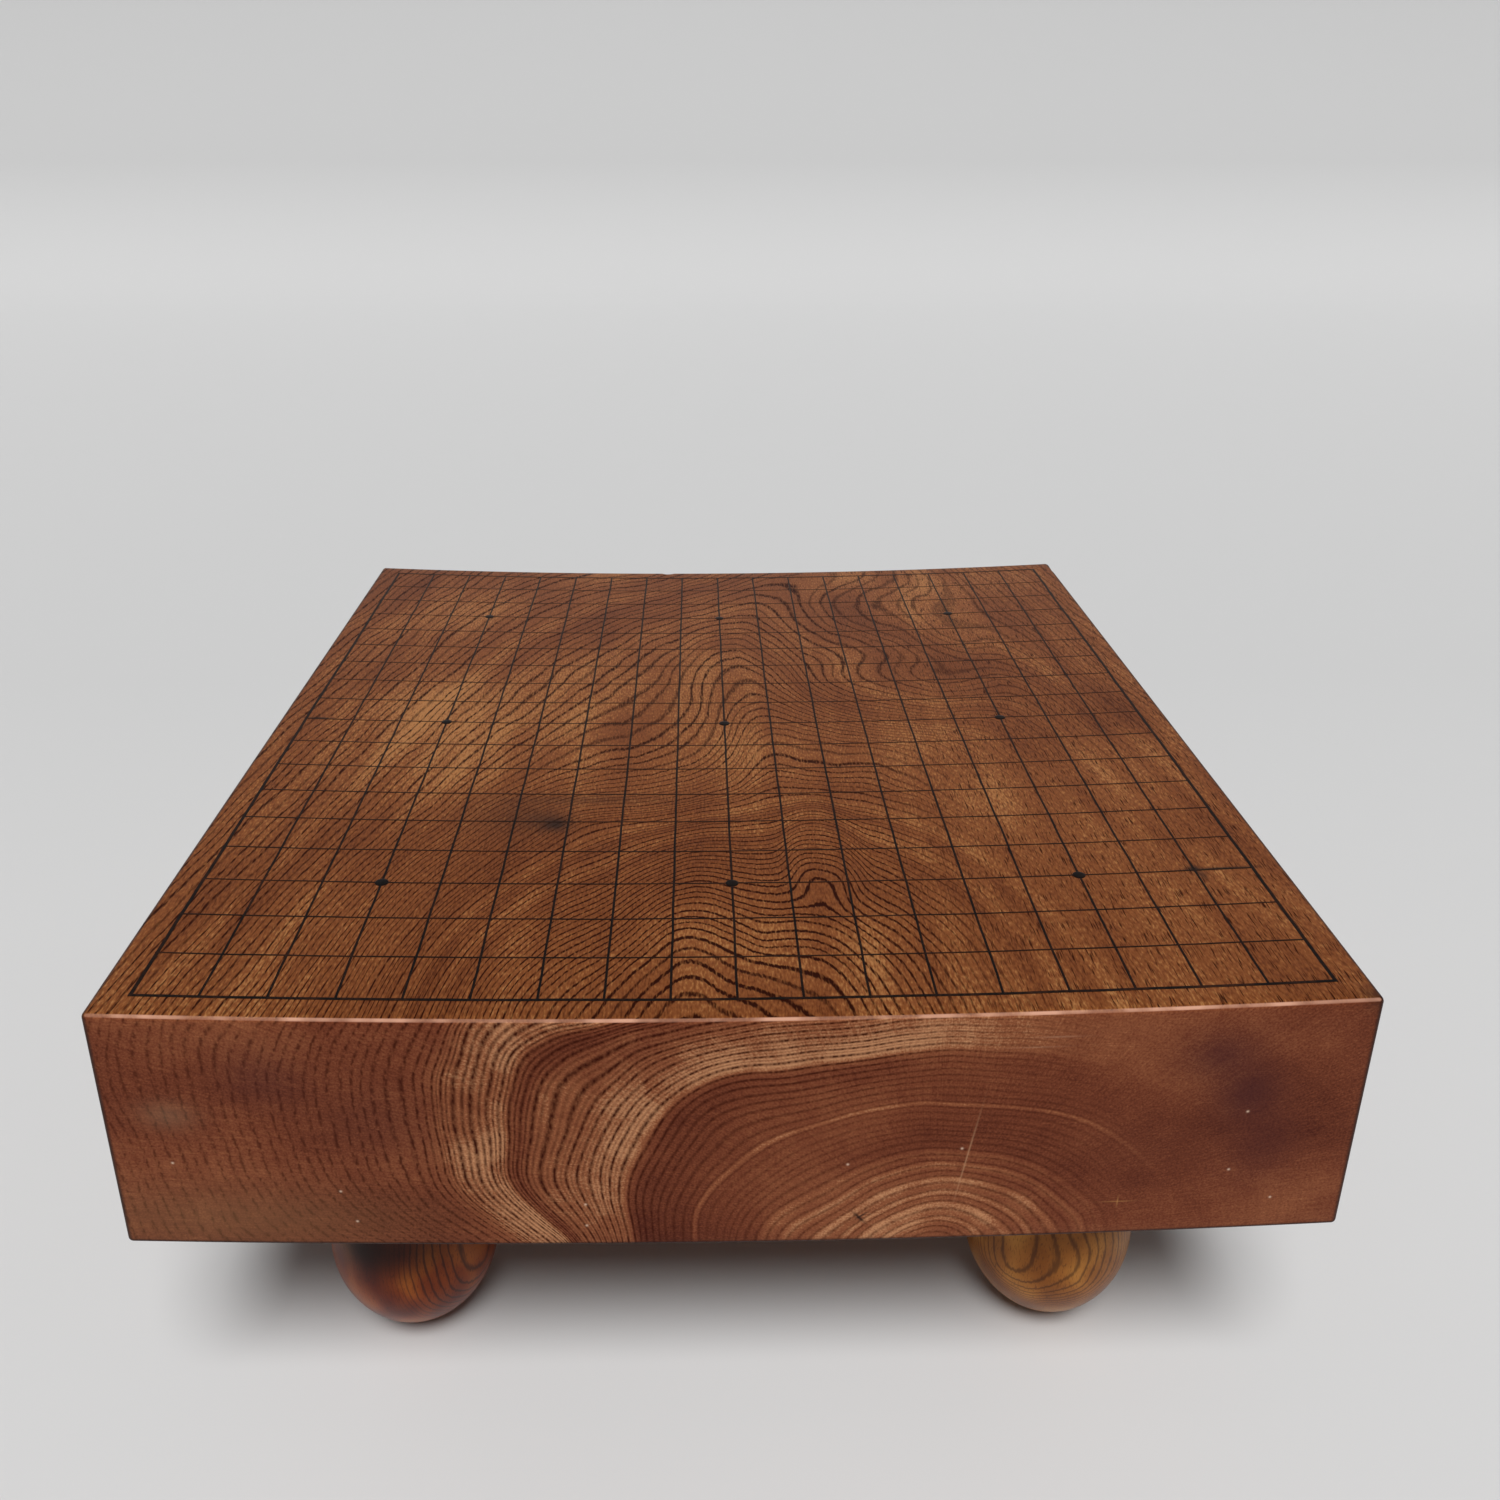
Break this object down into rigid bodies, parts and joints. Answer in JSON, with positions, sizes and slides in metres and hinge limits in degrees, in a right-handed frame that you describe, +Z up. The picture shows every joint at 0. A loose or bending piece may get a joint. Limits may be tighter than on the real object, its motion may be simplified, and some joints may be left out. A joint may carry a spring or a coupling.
{
  "type": "go board",
  "caption": "Thick wooden floor go board with a cupped playing face, a black lacquer line grid with star points, and turned feet that plug into its underside.",
  "frame": {"origin": "on the floor, under the middle of the block", "axes": "+Z up; X across the end-grain face; +Y along the grain and the long lines, away from the near side"},
  "size_m": [0.4294, 0.448, 0.1931],
  "materials": {
    "block_wood": "oiled, worn satin",
    "foot_wood": "turned and waxed",
    "line_lacquer": "worn black lacquer"
  },
  "bodies": {
    "board": {"board_block": "block_wood", "long_lines": "line_lacquer", "cross_lines": "line_lacquer", "star_points": "line_lacquer"},
    "front_left_foot": {"foot_front_left": "foot_wood"},
    "front_right_foot": {"foot_front_right": "foot_wood"},
    "back_left_foot": {"foot_back_left": "foot_wood"},
    "back_right_foot": {"foot_back_right": "foot_wood"}
  },
  "joints": [
    {"name": "front_left_pull", "type": "slide", "parent": "board", "child": "front_left_foot", "axis": [-0.0288, 0, -0.9996], "range_m": [0, 0.045]},
    {"name": "front_right_pull", "type": "slide", "parent": "board", "child": "front_right_foot", "axis": [0.0288, 0, -0.9996], "range_m": [0, 0.045]},
    {"name": "back_left_pull", "type": "slide", "parent": "board", "child": "back_left_foot", "axis": [-0.0288, 0, -0.9996], "range_m": [0, 0.045]},
    {"name": "back_right_pull", "type": "slide", "parent": "board", "child": "back_right_foot", "axis": [0.0288, 0, -0.9996], "range_m": [0, 0.045]}
  ]
}
